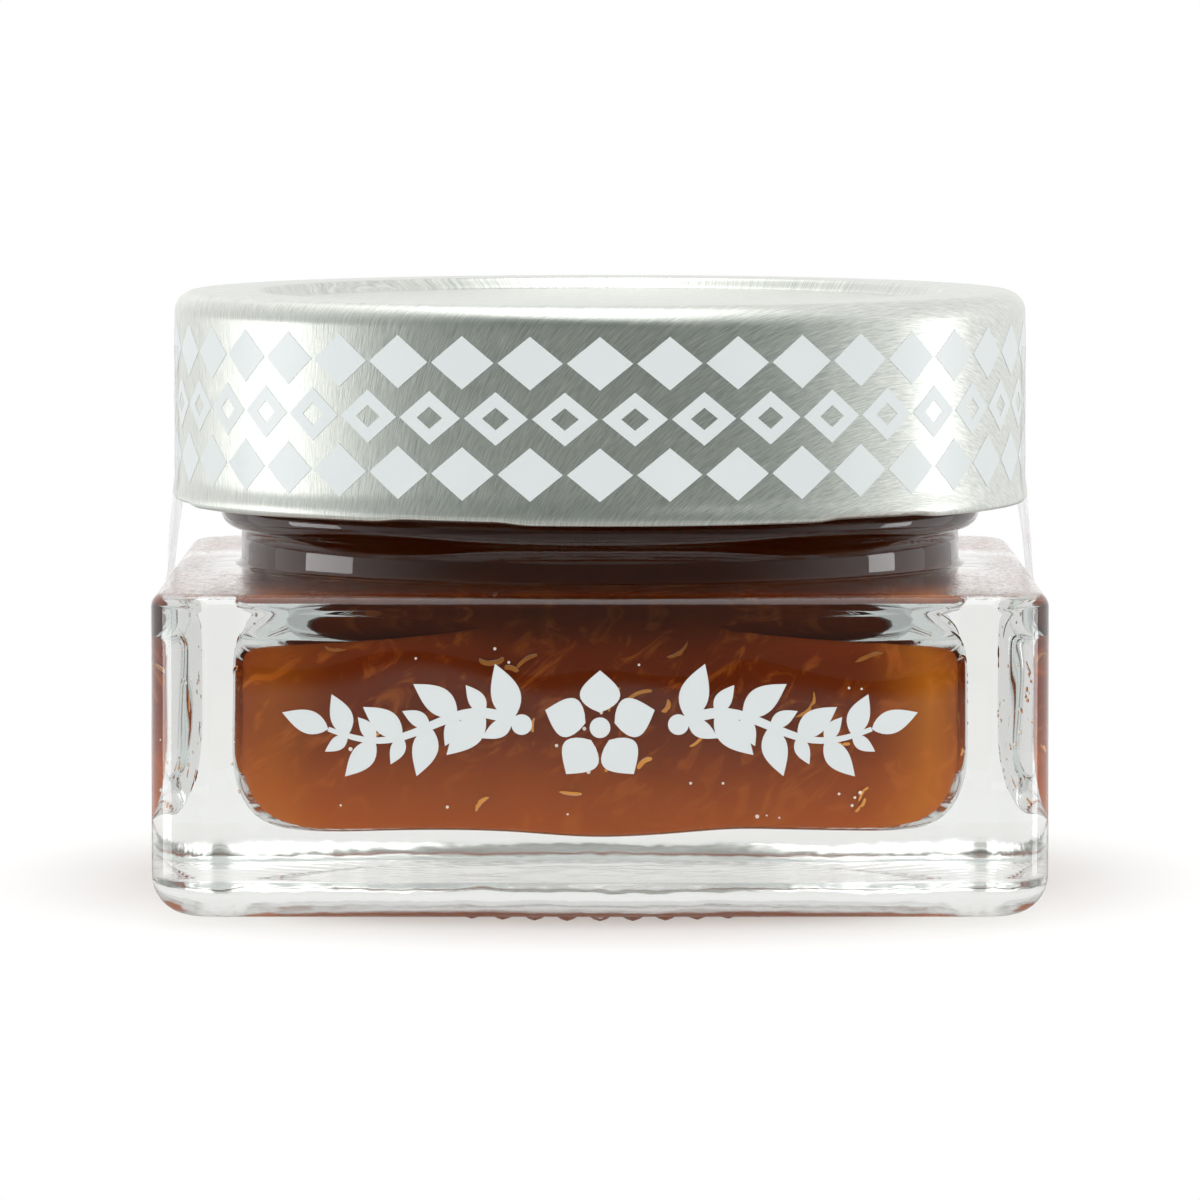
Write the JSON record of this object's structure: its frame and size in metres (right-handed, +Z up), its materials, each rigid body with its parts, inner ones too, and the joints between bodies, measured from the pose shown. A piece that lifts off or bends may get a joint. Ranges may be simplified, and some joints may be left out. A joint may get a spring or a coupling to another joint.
{
  "type": "marmalade jar",
  "caption": "Low square jar of thick clear glass, filled with marmalade and shut by a deep round twist-off metal lid with clear seal strips.",
  "frame": {"origin": "middle of the footprint, on the plane the jar stands on", "axes": "+Z up through the lid, -Y towards the printed front face, +X to the right of someone facing the front"},
  "size_m": [0.0746, 0.074, 0.051],
  "materials": {
    "clear_glass": "clear, thick, polished by the mould, slightly wavy",
    "marmalade": "wet translucent amber-brown jelly with fine peel",
    "lid_metal": "straight brushed tinplate under clear lacquer",
    "seal_film": "thin clear adhesive film",
    "print_ink": "opaque white printing ink, slightly raised"
  },
  "bodies": {
    "root": {"glass_jar": "clear_glass", "marmalade": "marmalade", "lid": "lid_metal", "seal_strip_left": "seal_film", "seal_strip_right": "seal_film"}
  },
  "joints": []
}
